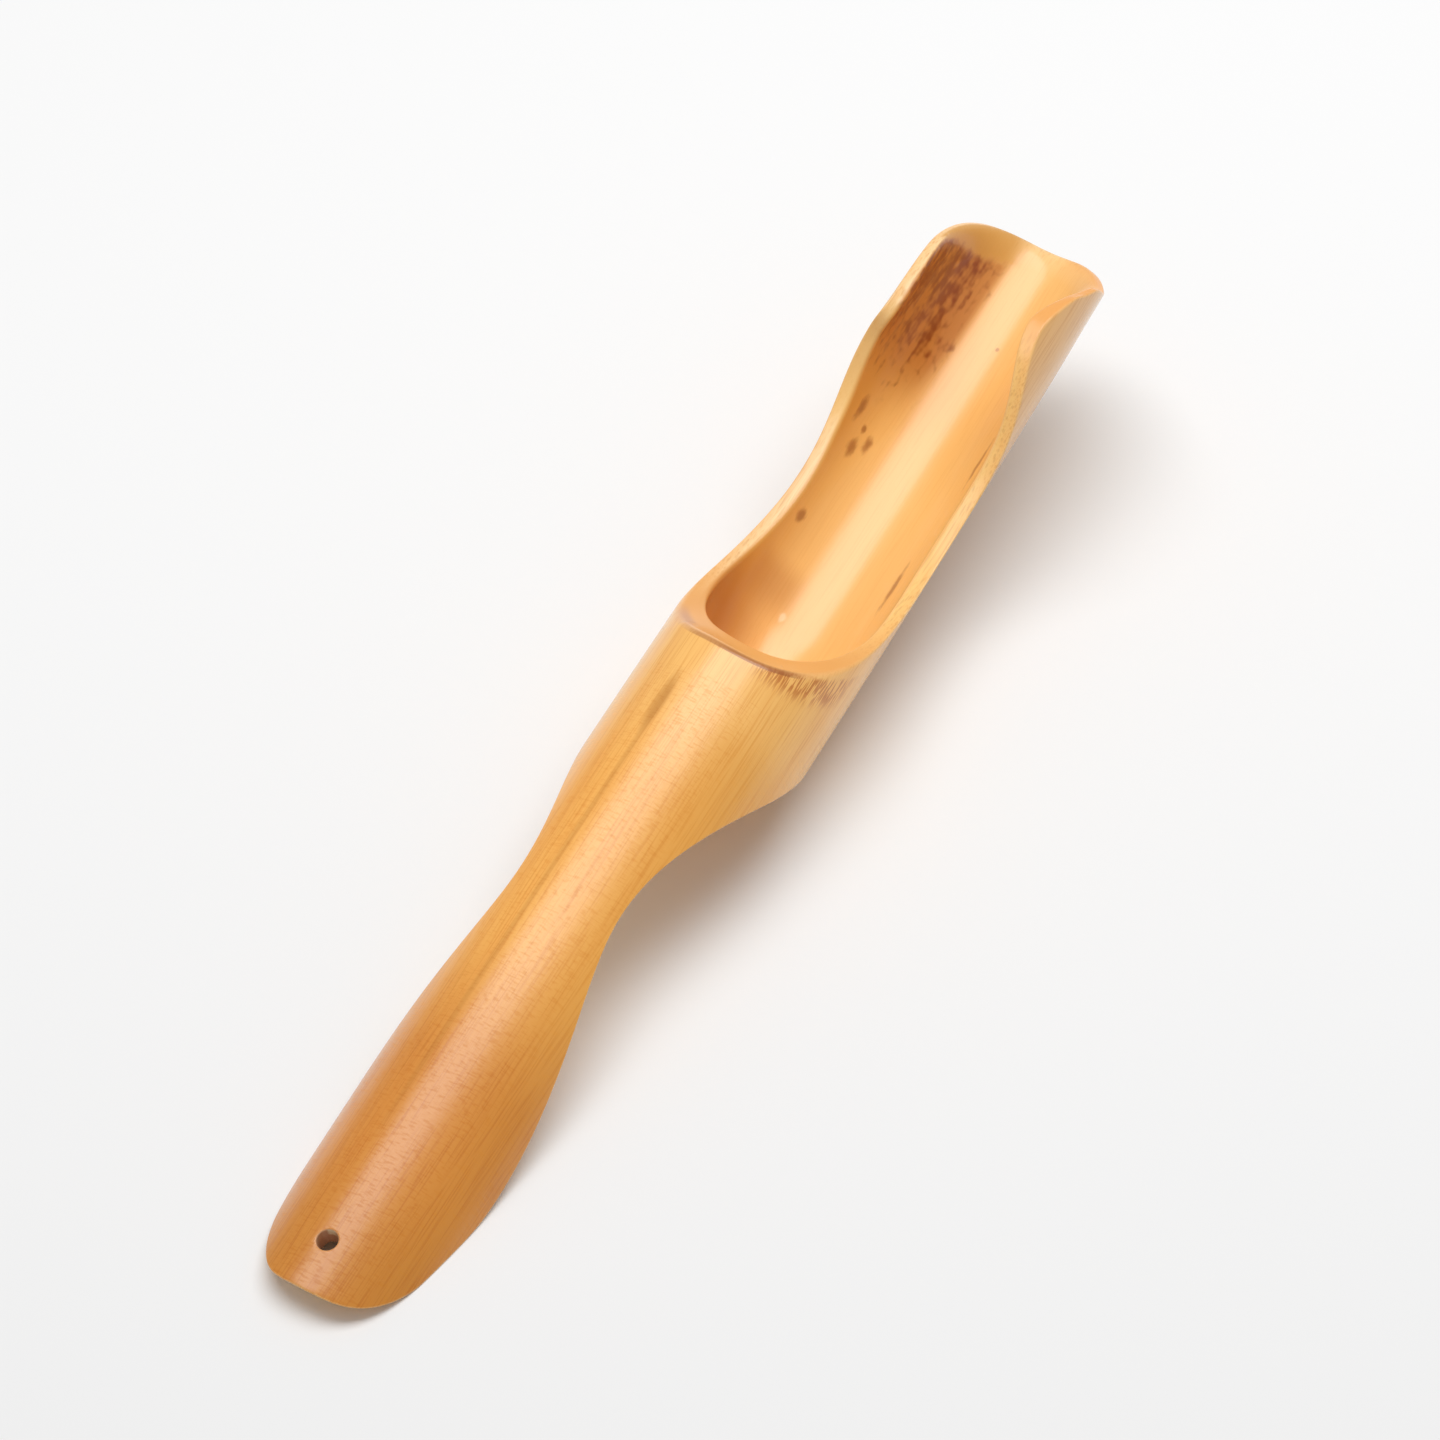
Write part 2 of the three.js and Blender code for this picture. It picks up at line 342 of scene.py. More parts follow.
crest = np.array([CREST_AT, culm_radius(CREST_AT)])
low = np.array([LOW_AT, LOW_HEIGHT - culm_radius(LOW_AT)])
shoulder = np.array([SHOULDER_AT, culm_radius(SHOULDER_AT) - SHOULDER_DROP])
lip = np.array([TROUGH_LENGTH, -MOUTH_RADIUS])
level, upright = heading(0), heading(90)
window = saw_cut(
    bezier(crest, crest + RAMP_EASE * heading(-RAMP_ANGLE), low - LOW_EASE_BACK * level, low),
    bezier(low, low + LOW_EASE_FRONT * level, shoulder - SHOULDER_EASE * level, shoulder)[1:],
    bezier(shoulder, shoulder + NOSE_EASE * heading(-NOSE_ANGLE), lip + LIP_EASE * upright, lip)[1:],
)

# The culm lies on its belly and its grip, which give its tilt. The lip sets how far along it lies.
belly = np.array([BELLY_AT, -culm_radius(BELLY_AT)])
grip = np.array([GRIP_AT, culm_radius(GRIP_AT) - GRIP_DEPTH])
rest_tilt = math.atan2(grip[1] - belly[1], belly[0] - grip[0])
tilted = Matrix.Rotation(-rest_tilt, 4, "Y")
lip_reach = (tilted @ Vector((lip[0], 0, lip[1]))).x
belly_drop = (tilted @ Vector((belly[0], 0, belly[1]))).z
culm_place = Vector((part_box("scoop_trough")[1].x / MILLIMETRE - lip_reach, 0, -belly_drop))
culm_to_frame = Matrix.Scale(MILLIMETRE, 4) @ Matrix.Translation(culm_place) @ tilted

# The rim's outer line is divided from the crest to the lip, and its inner line follows it along the window,
# drawn away from the crest and the lip to where the window meets the bore.
window_length = window[-1, 0]
bore_top, bore_lip = crossings(window)
length, run, off = edge_line(window, culm_radius, 0, window_length)
seam_run = np.interp(NODE_AHEAD, window[:, 1], window[:, 0])
corner_run = np.interp(LIP_CORNER_AT, window[:, 1], window[:, 0])
stops = np.interp([0, seam_run, corner_run, window_length], run, length)
rim_length = spaced(stops, (CREST_STEPS, RIM_STEPS, FLOOR_STEPS))
rim_run, rim_off = np.interp(rim_length, length, run), np.interp(rim_length, length, off)
bore_run = rim_run + bore_top * np.exp(-rim_run / RIM_SETTLE)
bore_run -= (window_length - bore_lip) * np.exp(-(window_length - rim_run) / RIM_SETTLE)
bore_run = np.clip(bore_run, bore_top, bore_lip)
bore_x, bore_z = cut_at(window, bore_run)
bore_off = half_width(bore_radius, bore_x, bore_z)
thin_share = smooth_share(bore_x, *LIP_THINS)
thin_reach = EDGE_ROUND + (LIP_REACH - EDGE_ROUND) * thin_share
thin_face = EDGE_ROUND + (LIP_BEVEL - EDGE_ROUND) * thin_share
rim_x = cut_at(window, rim_run)[0]
rim_round = BACK_ROUND + (OUTER_ROUND - BACK_ROUND) * smooth_share(rim_x, *BACK_ROUND_ENDS)
rim_wall, rim_face, rim_curve = rounded(window, culm_radius, rim_run, rim_off, rim_round, rim_round, 1)
bore_wall, bore_face, bore_curve = rounded(window, bore_radius, bore_run, bore_off, thin_reach, thin_face, -1)
rim_middle = on_face(window, *between(rim_face, bore_face, FACE_STEPS))
rim_strip = np.concatenate([rim_curve, rim_middle[1:-1], bore_curve[::-1]])
round_share = np.linspace(0, 1, ROUND_STEPS + 1)
strip_cut = np.concatenate([round_share, np.ones(FACE_STEPS - 1), round_share[::-1]])

seam, corner = CREST_STEPS, CREST_STEPS + RIM_STEPS


def front_seam(line):
    """Seam ahead of the node, from the floor line up to the rim, as x and angle: square across, then swept to
    the rim by a power of the share run."""
    share = np.linspace(0, 1, FLOOR_STEPS + 1)
    x = NODE_AHEAD + (line[0, seam] - NODE_AHEAD) * share**SEAM_SWEEP
    return np.stack([x, line[1, seam] * share])


front_outer, front_inner = front_seam(rim_wall), front_seam(bore_wall)
front_lines = on_wall(culm_radius, *front_outer), on_wall(bore_radius, *front_inner)
front_cap = seam_cap(*front_lines, rim_strip[:, seam])
outer_floor = tongue(front_outer, rim_wall[:, seam : corner + 1], rim_wall[:, corner:][:, ::-1])
inner_floor = tongue(front_inner, bore_wall[:, seam : corner + 1], bore_wall[:, corner:][:, ::-1])
wall_cut = np.zeros(RIM_STEPS + 1)

# Carbonised bamboo under clear lacquer. The skin deepens from the node to the tip, the inside is warmer, and
# sawn faces are paler and show the ends of the fibres as dots. Each colour comes in over a stretch of the
# culm or of the depth in its wall, and has a share where the colour below shows through.
SKIN_TIP = "#D4892E"
SKIN_GRIP, GRIP_FADE = "#DE9035", (-100, -80)
SKIN_WAIST, WAIST_FADE = "#FBB657", (-72, -44)
SKIN_NODE, NODE_FADE = "#FEC26C", (-25, -2)
SKIN_MOUTH, MOUTH_FADE = "#EBB46E", (4, 40)
INSIDE, INSIDE_FADE = "#FBC06E", (0.3, 0.9)
SAWN = "#FFD8A0"
SAWN_RIGHT, SAWN_RIGHT_FADE = "#FECB7C", (-4, 4)
SAWN_OUTER, SAWN_OUTER_FADE, SAWN_OUTER_SHARE = "#F6B26A", (0.2, 0.75), 0.3
SAWN_DOT, DOT_EDGE, DOT_SHARE = "#C98C4A", (0.2, 0.42), 0.28
DOT_LONG, DOT_APART = 25.0, 0.5
FIBRE_SHADE, FIBRE_LONG, FIBRE_WIDE = "#FBF4EA", 70.0, 2.0
FINE_SHADE, FINE_LONG, FINE_WIDE = "#F2E5D0", 9.0, 0.22
FIBRE_EDGE = (0.45, 0.75)
FIBRE_INSIDE = 0.3
RAGGED_LONG, RAGGED_WIDE = 1.6, 0.7
LACQUER_ROUGHNESS = 0.2
BODY_ROUGHNESS = 0.42
BODY_GLOSS = 0.2
SAWN_COAT = 0.4

# Real sanding marks are too fine to show in the render, so these are drawn coarser.
SANDING_APART, SANDING_LONG = 0.4, 5.0
SANDING_DEPTH = 0.01 * MILLIMETRE


def linear(code):
    """Linear colour of an sRGB hex code."""
    parts = [int(code[at : at + 2], 16) / 255 for at in (1, 3, 5)]
    return [part / 12.92 if part <= 0.04045 else ((part + 0.055) / 1.055) ** 2.4 for part in parts] + [1.0]


def add_node(tree, kind, inputs, **settings):
    """Adds a shader node with its settings and gives its outputs. An input takes a value or an output."""
    made = tree.nodes.new("ShaderNode" + kind)
    for name, value in settings.items():
        setattr(made, name, value)
    for name, value in inputs.items():
        if isinstance(value, bpy.types.NodeSocket):
            tree.links.new(value, made.inputs[name])
        else:
            made.inputs[name].default_value = value
    return made.outputs


def product(look, shares):
    """All the shares of a mark multiplied together."""
    whole = shares[0]
    for share in shares[1:]:
        whole = add_node(look["tree"], "Math", {0: whole, 1: share}, operation="MULTIPLY")[0]
    return whole


def stretch(look, value, rise=None, fall=None):
    """Share of a value's range: from 0 to 1 over its rise and back to 0 over its fall, where it has them."""
    ends = [rise] if rise else []
    if fall:
        ends.append(fall[::-1])
    shares = []
    for zero_at, one_at in ends:
        eased = {"Value": value, "From Min": zero_at, "From Max": one_at}
        shares.append(add_node(look["tree"], "MapRange", eased, interpolation_type="SMOOTHSTEP")[0])
    return product(look, shares)


def flecks(look, long, wide, detail=1):
    """Noise drawn out along the culm, each fleck about so long and wide in millimetres."""
    drawn = {0: look["culm"], 1: (1 / long, 1 / wide, 1 / wide)}
    drawn = add_node(look["tree"], "VectorMath", drawn, operation="MULTIPLY")[0]
    return add_node(look["tree"], "TexNoise", {"Vector": drawn, "Scale": 1.0, "Detail": detail})["Fac"]


def spot(look, plane, at, size, soft=0.5, ragged=0.0):
    """Oval mark, 1 inside and 0 outside, placed and sized in millimetres on the surface or on the culm's own
    plane. A ragged edge moves in and out with small flecks."""
    place = {"Vector": look[plane], "Location": (-at[0] / size[0], -at[1] / size[1], 0)}
    place["Scale"] = (1 / size[0], 1 / size[1], 0)
    placed = add_node(look["tree"], "Mapping", place)[0]
    reach = add_node(look["tree"], "VectorMath", {0: placed}, operation="LENGTH")["Value"]
    uneven = flecks(look, RAGGED_LONG, RAGGED_WIDE, 2)
    reach = add_node(look["tree"], "Math", {0: uneven, 1: ragged, 2: reach}, operation="MULTIPLY_ADD")[0]
    edge = 1 + ragged / 2
    return stretch(look, reach, fall=(edge - soft, edge + soft))


def paint(look, code, *shares, blend="MIX"):
    """Blends a colour into the look so far, by the product of shares."""
    mixed = {0: product(look, shares), 6: look["colour"], 7: linear(code)}
    look["colour"] = add_node(look["tree"], "Mix", mixed, data_type="RGBA", blend_type=blend)[2]


def bamboo(name):
    """New material with the bamboo's ground colour, and what its marks are drawn with: the culm's coordinates
    in millimetres, the place on the surface as along and around from the floor line, and the marks of cut and
    depth."""
    material = bpy.data.materials.new(name)
    material.use_nodes = True
    tree = material.node_tree
    tree.nodes.clear()
    look = {"tree": tree, "colour": linear(SKIN_TIP)}
    unturned = Matrix.Rotation(rest_tilt, 4, "Y") @ -culm_place
    place = {"Vector": add_node(tree, "TexCoord", {})["Object"], "Location": unturned}
    place["Rotation"], place["Scale"] = (0, rest_tilt, 0), [1 / MILLIMETRE] * 3
    look["culm"] = add_node(tree, "Mapping", place)[0]
    look["x"], look["y"], look["z"] = add_node(tree, "SeparateXYZ", {0: look["culm"]})
    down = add_node(tree, "Math", {0: look["z"], 1: -1.0}, operation="MULTIPLY")[0]
    turn = add_node(tree, "Math", {0: look["y"], 1: down}, operation="ARCTAN2")[0]
    look["around"] = add_node(tree, "Math", {0: turn, 1: NODE_RADIUS}, operation="MULTIPLY")[0]
    look["surface"] = add_node(tree, "CombineXYZ", {0: look["x"], 1: look["around"]})[0]
    for mark in ("cut", "depth"):
        look[mark] = add_node(tree, "Attribute", {}, attribute_name=mark)["Fac"]
    paint(look, SKIN_GRIP, stretch(look, look["x"], GRIP_FADE))
    paint(look, SKIN_WAIST, stretch(look, look["x"], WAIST_FADE))
    paint(look, SKIN_NODE, stretch(look, look["x"], NODE_FADE))
    paint(look, SKIN_MOUTH, stretch(look, look["x"], MOUTH_FADE))
    paint(look, INSIDE, stretch(look, look["depth"], INSIDE_FADE))
    paint(look, SAWN, look["cut"])
    paint(look, SAWN_RIGHT, look["cut"], stretch(look, look["y"], fall=SAWN_RIGHT_FADE))
    outer_edge = stretch(look, look["depth"], fall=SAWN_OUTER_FADE)
    paint(look, SAWN_OUTER, look["cut"], outer_edge, SAWN_OUTER_SHARE)
    bare = add_node(tree, "MapRange", {"Value": look["depth"], "To Min": 1.0, "To Max": FIBRE_INSIDE})[0]
    fibres, fine = flecks(look, FIBRE_LONG, FIBRE_WIDE, 2), flecks(look, FINE_LONG, FINE_WIDE)
    paint(look, FIBRE_SHADE, stretch(look, fibres, FIBRE_EDGE), bare, blend="MULTIPLY")
    paint(look, FINE_SHADE, stretch(look, fine, FIBRE_EDGE), bare, blend="MULTIPLY")
    drawn = (1 / DOT_LONG, 1 / DOT_APART, 1 / DOT_APART)
    bundles = add_node(tree, "VectorMath", {0: look["culm"], 1: drawn}, operation="MULTIPLY")[0]
    near = add_node(tree, "TexVoronoi", {"Vector": bundles, "Scale": 1.0})["Distance"]
    paint(look, SAWN_DOT, stretch(look, near, fall=DOT_EDGE), look["cut"], DOT_SHARE)
    return material, look


def soaked(look, coat):
    """Weight of a coat of lacquer that sawn faces have drunk in most of."""
    return add_node(look["tree"], "MapRange", {"Value": look["cut"], "To Min": coat, "To Max": SAWN_COAT})[0]


def varnish(look, sanding, coat, roughness=LACQUER_ROUGHNESS):
    """Lacquer over the ground colour: a rough body under a glossy coat, waved by crosswise sanding marks."""
    tree = look["tree"]
    drawn = (1 / SANDING_APART, 1 / SANDING_LONG, 1 / SANDING_LONG)
    rows = add_node(tree, "VectorMath", {0: look["culm"], 1: drawn}, operation="MULTIPLY")[0]
    height = add_node(tree, "TexNoise", {"Vector": rows, "Scale": 1.0, "Detail": 2})["Fac"]
    normal = add_node(tree, "Bump", {"Height": height, "Strength": sanding, "Distance": SANDING_DEPTH})[0]
    body = {"Base Color": look["colour"], "Roughness": BODY_ROUGHNESS, "Specular IOR Level": BODY_GLOSS}
    body.update({"Normal": normal, "Coat Normal": normal, "Coat Weight": coat, "Coat Roughness": roughness})
    shader = add_node(tree, "BsdfPrincipled", body)[0]
    add_node(tree, "OutputMaterial", {"Surface": shader})


# The node shows outside as brown dashes where fibres end below the rim on the right, and as a dark line
# along the rim's outer edge. They cross from the node ring to the trough, so both draw them.
MID_WALL = (0.25, 0.5)
DASH, DASH_SHARE = "#BE661E", 0.75
DASH_LONG, DASH_WIDE, DASH_EDGE = 3.0, 0.26, (0.47, 0.56)
DASH_BEHIND, DASH_RIGHT, DASH_ABOVE = (-0.4, 0.5), (-7, -3), (-1, 4)
DASH_SLANT, DASH_END = 0.35, (-1.5, 1.5)
RAMP_BEND = 0.02
ABOVE_BELLY = (-3.5, -1.5)
RIM_SAWN, RIM_SAWN_END = "#ECA95E", (8, 28)
RIM_LINE, LINE_SHARE = "#9E541A", 0.55
LINE_CUT = (0.0, 0.12), (0.35, 0.8)
LINE_ACROSS, LINE_END = ((-11, -8), (4, 8)), (4, 9)
LINE_RIGHT, LINE_RIGHT_SHARE = (-2, 3), 0.5
RIM_GREY, GREY_SHARE = "#C08A6E", 0.6
GREY_LEFT, GREY_END = (5, 8), (5, 9)


def node_marks(look):
    """Draws the node's marks: how far behind the rim a point lies comes from the ramp's edge, whose way along
    the culm grows with the drop from the crest and its square."""
    tree, x, y, z, cut = look["tree"], look["x"], look["y"], look["z"], look["cut"]
    ramp_slope = 1 / math.tan(math.radians(RAMP_ANGLE))
    drop = add_node(tree, "Math", {0: NODE_RADIUS, 1: z}, operation="SUBTRACT")[0]
    slope = add_node(tree, "Math", {0: drop, 1: RAMP_BEND, 2: ramp_slope}, operation="MULTIPLY_ADD")[0]
    edge = add_node(tree, "Math", {0: drop, 1: slope, 2: CREST_AT}, operation="MULTIPLY_ADD")[0]
    behind = add_node(tree, "Math", {0: edge, 1: x}, operation="SUBTRACT")[0]
    outside = stretch(look, look["depth"], fall=MID_WALL)
    dashes = stretch(look, flecks(look, DASH_LONG, DASH_WIDE), DASH_EDGE)
    wedge = add_node(tree, "Math", {0: y, 1: DASH_SLANT, 2: behind}, operation="MULTIPLY_ADD")[0]
    below_rim = stretch(look, behind, DASH_BEHIND), stretch(look, wedge, fall=DASH_END)
    on_right = stretch(look, y, fall=DASH_RIGHT), stretch(look, z, DASH_ABOVE)
    paint(look, DASH, dashes, *below_rim, *on_right, outside, DASH_SHARE)
    above_belly = stretch(look, z, ABOVE_BELLY)
    paint(look, RIM_SAWN, cut, stretch(look, x, fall=RIM_SAWN_END), above_belly)
    around_back = stretch(look, y, *LINE_ACROSS), stretch(look, x, fall=LINE_END)
    line = product(look, (stretch(look, cut, *LINE_CUT), *around_back, above_belly, outside))
    paint(look, RIM_LINE, line, LINE_SHARE)
    paint(look, RIM_LINE, line, stretch(look, y, fall=LINE_RIGHT), LINE_RIGHT_SHARE)
    left_back = stretch(look, y, GREY_LEFT), stretch(look, x, fall=GREY_END)
    paint(look, RIM_GREY, cut, *left_back, above_belly, outside, GREY_SHARE)


# The trough's inside is darker along its left wall, and stained brown there towards the mouth up to the
# sanded lip. Its back by the node is darker still, partly stain and partly painted shade. It also has a
# few single spots, two brown streaks on its right wall, and one lacquer blister whose highlight is
# painted as a pale spot.
TROUGH_SANDING, TROUGH_COAT = 0.3, 1.0
INNER_SKIN = (0.6, 0.95)
LEFT_WALL_DARKER, LEFT_WALL_DARKER_UP = "#E09C42", (8, 19)
BACK_STAIN_AND_SHADE = "#AE5806"
BACK_END, BACK_UP, BACK_SHARE = (14, 28), (4, 18), 0.72
PATCH_ALONG, PATCH_UP, PATCH_SHARE = ((18, 24), (25, 29.5)), ((4, 8), (14, 17)), 0.32
LIP_SAWN, LIP_SAWN_UP, LIP_SAWN_SHARE = "#D4943A", (4, 9), 0.8
STAIN_SOFT, SOFT_EDGE, SOFT_SHARE = "#BC6A18", (0, 0.7), 0.75
STAIN, STAIN_EDGE, STAIN_SHARE = "#8E3E00", (0.3, 1.3), 0.95
STAIN_KEPT = (0, 0.3)
STAIN_ALONG, STAIN_UP, HEAVY_UP = (52, 76), (5, 10), (3, 17)
STAIN_SLANT, STAIN_END, STAIN_FADE = 0.38, 90.0, 1.0
STAIN_RAGGED, STAIN_UNEVEN = 3.0, 1.8
COLUMN_LONG, COLUMN_WIDE = 6.0, 1.0
BLOTCH_LONG, BLOTCH_WIDE = 1.8, 1.1
SPOT_SOFT, SPOT_RAGGED, SPOT_SHARE = 0.7, 1.6, 0.65
SPECK_AT, SPECK_SIZE, SPECK_SHARE = (74.4, 0.1), (0.35, 0.35), 0.5
BLISTER_HIGHLIGHT, BLISTER_HIGHLIGHT_SHARE = "#FFE2B4", 0.6
BLISTER_AT, BLISTER_SIZE, BLISTER_SOFT, BLISTER_RAGGED = (20.7, 6.1), (0.7, 0.55), 0.5, 1.0
MOUTH_SAWN, MOUTH_SAWN_SHARE = "#EFA75A", 0.9
MOUTH_SAWN_ALONG, MOUTH_SAWN_RIGHT = (60, 72), (-4, 0)
LEFT_SAWN_ALONG, LEFT_SAWN_UP, LEFT_SAWN_SHARE = ((40, 54), (60, 68)), (0, 4), 0.8

trough_bamboo, look = bamboo("lacquered_bamboo_trough")
tree, x, around, cut = look["tree"], look["x"], look["around"], look["cut"]
inside, deep = stretch(look, look["depth"], INNER_SKIN), stretch(look, look["depth"], MID_WALL)
columns, blotches = flecks(look, COLUMN_LONG, COLUMN_WIDE), flecks(look, BLOTCH_LONG, BLOTCH_WIDE)
lipward = add_node(tree, "Math", {0: around, 1: STAIN_SLANT, 2: x}, operation="MULTIPLY_ADD")[0]
lipward = add_node(tree, "Math", {0: blotches, 1: STAIN_RAGGED, 2: lipward}, operation="MULTIPLY_ADD")[0]
stain_end = STAIN_END + STAIN_RAGGED / 2
sanded_from = (stain_end - STAIN_FADE, stain_end + STAIN_FADE)
sanded, short = stretch(look, lipward, sanded_from), stretch(look, lipward, fall=sanded_from)
# The left wall is painted darker higher up towards its rim.
paint(look, LEFT_WALL_DARKER, stretch(look, around, LEFT_WALL_DARKER_UP), inside)
paint(look, LIP_SAWN, sanded, stretch(look, around, LIP_SAWN_UP), deep, LIP_SAWN_SHARE)
# Partly stain and partly painted shade: the left wall's back by the node, and a patch along from it, darker.
paint(look, BACK_STAIN_AND_SHADE, stretch(look, x, fall=BACK_END), stretch(look, around, BACK_UP), inside, BACK_SHARE)
patch = stretch(look, x, *PATCH_ALONG), stretch(look, around, *PATCH_UP)
paint(look, BACK_STAIN_AND_SHADE, *patch, inside, PATCH_SHARE)
near_mouth = stretch(look, x, STAIN_ALONG)
stained = product(look, (near_mouth, stretch(look, around, STAIN_UP)))
heavy = product(look, (near_mouth, stretch(look, around, HEAVY_UP)))
uneven = add_node(tree, "Math", {0: columns, 1: blotches}, operation="ADD")[0]
uneven = add_node(tree, "Math", {0: uneven, 1: STAIN_UNEVEN, 2: -STAIN_UNEVEN}, operation="MULTIPLY_ADD")[0]
dense = add_node(tree, "Math", {0: uneven, 1: heavy}, operation="ADD")[0]
paint(look, STAIN_SOFT, stretch(look, stained, SOFT_EDGE), inside, short, SOFT_SHARE)
blots = stretch(look, dense, STAIN_EDGE), stretch(look, stained, STAIN_KEPT)
paint(look, STAIN, *blots, inside, short, STAIN_SHARE)
for along_at, around_at, long, wide in (
    (34.7, 13.3, 1.0, 0.7),
    (48.0, 12.6, 1.3, 0.7),
    (50.1, 10.3, 1.2, 0.6),
    (51.6, 12.5, 0.6, 0.4),
    (53.5, 15.5, 1.6, 0.7),
    (31.0, -9.0, 3.4, 0.5),
    (53.5, -11.5, 3.4, 0.5),
):
    single = spot(look, "surface", (along_at, around_at), (long, wide), SPOT_SOFT, SPOT_RAGGED)
    paint(look, STAIN, single, inside, SPOT_SHARE)
paint(look, STAIN, spot(look, "surface", SPECK_AT, SPECK_SIZE), inside, SPECK_SHARE)
# A lacquer blister, its highlight painted as a pale spot.
blister_highlight = spot(look, "surface", BLISTER_AT, BLISTER_SIZE, BLISTER_SOFT, BLISTER_RAGGED)
paint(look, BLISTER_HIGHLIGHT, blister_highlight, inside, BLISTER_HIGHLIGHT_SHARE)
right_of_mouth = stretch(look, x, MOUTH_SAWN_ALONG), stretch(look, around, fall=MOUTH_SAWN_RIGHT)
paint(look, MOUTH_SAWN, cut, *right_of_mouth, MOUTH_SAWN_SHARE)
left_rim = stretch(look, x, *LEFT_SAWN_ALONG), stretch(look, around, LEFT_SAWN_UP)
paint(look, SAWN_RIGHT, cut, *left_rim, LEFT_SAWN_SHARE)
node_marks(look)
varnish(look, TROUGH_SANDING, soaked(look, TROUGH_COAT))
trough_patches = [
    (on_wall(culm_radius, *outer_floor), wall_cut),
    (on_wall(bore_radius, *inner_floor), wall_cut),
    (rim_strip[:, seam:], strip_cut),
    (front_cap, strip_cut),
]
trough_mesh = bmesh.new()
add_grids(trough_mesh, [(carved_by_hand(grid), share) for grid, share in mirrored(trough_patches)])
trough = make_piece("trough", trough_mesh, trough_bamboo)
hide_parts("scoop_trough")

# The node ring is the thick wall where the culm's fibres cross over: the same bamboo, sanded flush outside.
# It is grown in one with the trough and the handle. The window's ramp cuts its crest, the undercut its belly.
BELLY_ANGLE = 62
BELLY_EASE = 10.4
WAIST_AT = -39.0
WAIST_DEPTH = 2.6
WAIST_EASE_FRONT = 22.8
WAIST_EASE_BACK = 15.6
GRIP_FLAT = 8.0
GRIP_EASE = 14.8
HEEL_EASE = 4.0
TIP_EASE = 1.8
BELLY_STEPS = 25
ARCH_STEPS = CREST_STEPS + FLOOR_STEPS - BELLY_STEPS
LAND_STEPS = 30
GRIP_STEPS = 76
RING_STEPS = 10
FAN_REACH = 5.0
TIP_CORNER_AT = -98.5
BELLY_ROUND = 1.1
BELLY_SIDE, BELLY_BACK = (25.0, 50.0), (4.0, 12.0)
NODE_SANDING, SKIN_COAT = 0.5, 0.88

waist = np.array([WAIST_AT, culm_radius(WAIST_AT) - WAIST_DEPTH])
tip = np.array([-HANDLE_LENGTH, TIP_RADIUS])
table_line = np.array([-math.cos(rest_tilt), math.sin(rest_tilt)])
flat_front, flat_back = grip - table_line * GRIP_FLAT / 2, grip + table_line * GRIP_FLAT / 2
undercut = saw_cut(
    bezier(belly, belly + BELLY_EASE * heading(180 - BELLY_ANGLE), waist + WAIST_EASE_FRONT * level, waist),
    bezier(waist, waist - WAIST_EASE_BACK * level, flat_front - GRIP_EASE * table_line, flat_front)[1:],
    bezier(flat_back, flat_back + HEEL_EASE * table_line, tip - TIP_EASE * upright, tip),
)

# The undercut's outer edge runs from the belly to the tip, past the pocket behind the node, the solid land at
# the waist and the hollow under the grip. The pocket and the hollow each have an inner edge of their own.
under_length = undercut[-1, 0]
pocket_bottom, pocket_top, hollow_front, hollow_back = crossings(undercut)
length, run, off = edge_line(undercut, culm_radius, 0, under_length)
behind_run = np.interp(NODE_BEHIND, -undercut[:, 1], undercut[:, 0])
heel_run = np.interp(-TIP_CORNER_AT, -undercut[:, 1], undercut[:, 0])
land_runs = [pocket_top + FAN_REACH, hollow_front - FAN_REACH]
stops = np.interp([0, behind_run, *land_runs, heel_run, under_length], run, length)
hem_length = spaced(stops, (BELLY_STEPS, ARCH_STEPS, LAND_STEPS, GRIP_STEPS, ARCH_STEPS))
hem_run, hem_off = np.interp(hem_length, length, run), np.interp(hem_length, length, off)
hem_x, hem_z = cut_at(undercut, hem_run)
belly_side = smooth_share(np.degrees(np.arctan2(hem_off, -hem_z)), *BELLY_SIDE)
belly_share = belly_side * (1 - smooth_share(-hem_x, *BELLY_BACK))
hem_round = OUTER_ROUND + (BELLY_ROUND - OUTER_ROUND) * belly_share
hem_wall, hem_face, hem_curve = rounded(undercut, culm_radius, hem_run, hem_off, hem_round, hem_round, 1)
behind, land = BELLY_STEPS, BELLY_STEPS + ARCH_STEPS
hollow, heel = land + LAND_STEPS, land + LAND_STEPS + GRIP_STEPS

pocket_length, run, off = edge_line(undercut, bore_radius, pocket_bottom, pocket_top)
pocket_at = pocket_length[-1] * hem_length[: land + 1] / hem_length[land]
pocket = np.interp(pocket_at, pocket_length, run), np.interp(pocket_at, pocket_length, off)
inner_round = EDGE_ROUND, EDGE_ROUND, -1
pocket_wall, pocket_face, pocket_curve = rounded(undercut, bore_radius, *pocket, *inner_round)
hollow_length, run, off = edge_line(undercut, bore_radius, hollow_front, hollow_back)
past_land = hem_length[hollow:] - hem_length[hollow]
hollow_at = hollow_length[-1] * past_land / past_land[-1]
hollow_edge = np.interp(hollow_at, hollow_length, run), np.interp(hollow_at, hollow_length, off)
hollow_wall, hollow_face, hollow_curve = rounded(undercut, bore_radius, *hollow_edge, *inner_round)
land_line = np.linspace(pocket_face[:, -1], hollow_face[:, 0], LAND_STEPS + 1, axis=1)
hem_inner = np.concatenate([pocket_face, land_line[:, 1:-1], hollow_face], axis=1)
hem_middle = on_face(undercut, *between(hem_face, hem_inner, FACE_STEPS))
hem_strip = np.concatenate([hem_curve, hem_middle[1:]])
hem_cut = np.concatenate([round_share, np.ones(FACE_STEPS)])
pocket_strip = np.concatenate([hem_strip[:, : land + 1], pocket_curve[::-1][1:]])
